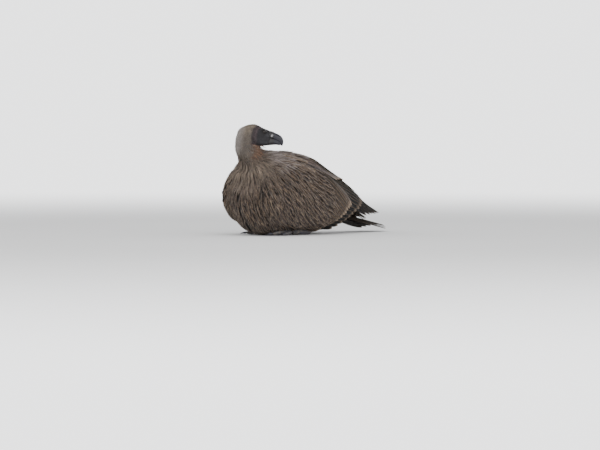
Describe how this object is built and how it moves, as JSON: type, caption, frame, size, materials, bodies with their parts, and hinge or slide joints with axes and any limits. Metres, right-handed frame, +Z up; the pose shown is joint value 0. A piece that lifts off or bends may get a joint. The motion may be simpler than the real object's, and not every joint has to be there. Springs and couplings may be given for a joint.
{
  "type": "white-backed vulture model",
  "caption": "Life-size still model of a white-backed vulture resting on its belly, wings folded, head turned back over its left shoulder.",
  "frame": {"origin": "middle of the bounding box in plan, at the floor that the belly, shanks and toes rest on", "axes": "+Z up, -X the way the body faces, -Y the bird's left side; the head looks back towards +X and -Y"},
  "size_m": [0.6686, 0.2954, 0.3613],
  "materials": {
    "plumage": "matt contour feathers, grey-brown with pale shaft streaks",
    "down": "short soft down, pale fawn grey",
    "ruff": "long loose narrow feathers, warm brown with pale edges",
    "flight": "stiff flight feathers, blackish brown, faint sheen",
    "tertial": "stiff inner flight feathers, grey-brown",
    "skin": "dark slate bare skin with sparse short down",
    "horn": "smooth blue-black horn",
    "eye": "wet dark brown",
    "foot": "grey scaled skin"
  },
  "bodies": {
    "root": {"bill_upper": "horn", "bill_lower": "horn", "eye_left": "eye", "eye_right": "eye", "head": "skin", "neck_upper": "down", "neck_lower": "down", "ruff": "ruff", "wing_left": "plumage", "scapulars_left": "plumage", "tertials_left": "tertial", "secondaries_left": "flight", "primaries_left": "flight", "wing_right": "plumage", "scapulars_right": "plumage", "tertials_right": "tertial", "secondaries_right": "flight", "primaries_right": "flight", "tail": "flight", "claw_inner_left": "horn", "claw_middle_left": "horn", "claw_outer_left": "horn", "claw_hind_left": "horn", "foot_left": "foot", "shank_left": "foot", "claw_inner_right": "horn", "claw_middle_right": "horn", "claw_outer_right": "horn", "claw_hind_right": "horn", "foot_right": "foot", "shank_right": "foot", "trunk": "plumage"}
  },
  "joints": []
}
